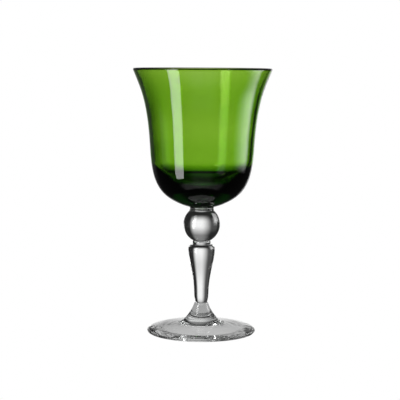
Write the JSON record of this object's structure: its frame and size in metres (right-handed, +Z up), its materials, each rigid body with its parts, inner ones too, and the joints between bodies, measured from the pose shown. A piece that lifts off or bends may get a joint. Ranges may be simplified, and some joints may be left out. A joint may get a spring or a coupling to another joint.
{
  "type": "wine glass",
  "caption": "Stemmed wine glass: a flared, thick-based green bowl on a clear collar, ball knop, neck ring, tapered stem and coned round foot.",
  "frame": {"origin": "centre of the ring under the foot that the glass rests on", "axes": "+Z up through the stem and the centre of the bowl's mouth; the glass is round, so +X and +Y are any two level directions"},
  "size_m": [0.094, 0.094, 0.18],
  "materials": {
    "green_glass": "polished transparent, grass green",
    "clear_glass": "polished transparent, colourless"
  },
  "bodies": {
    "root": {"bowl": "green_glass", "bowl_collar": "clear_glass", "ball_knop": "clear_glass", "neck_ring": "clear_glass", "tapered_stem": "clear_glass", "foot_neck": "clear_glass", "foot_disc": "clear_glass"}
  },
  "joints": []
}
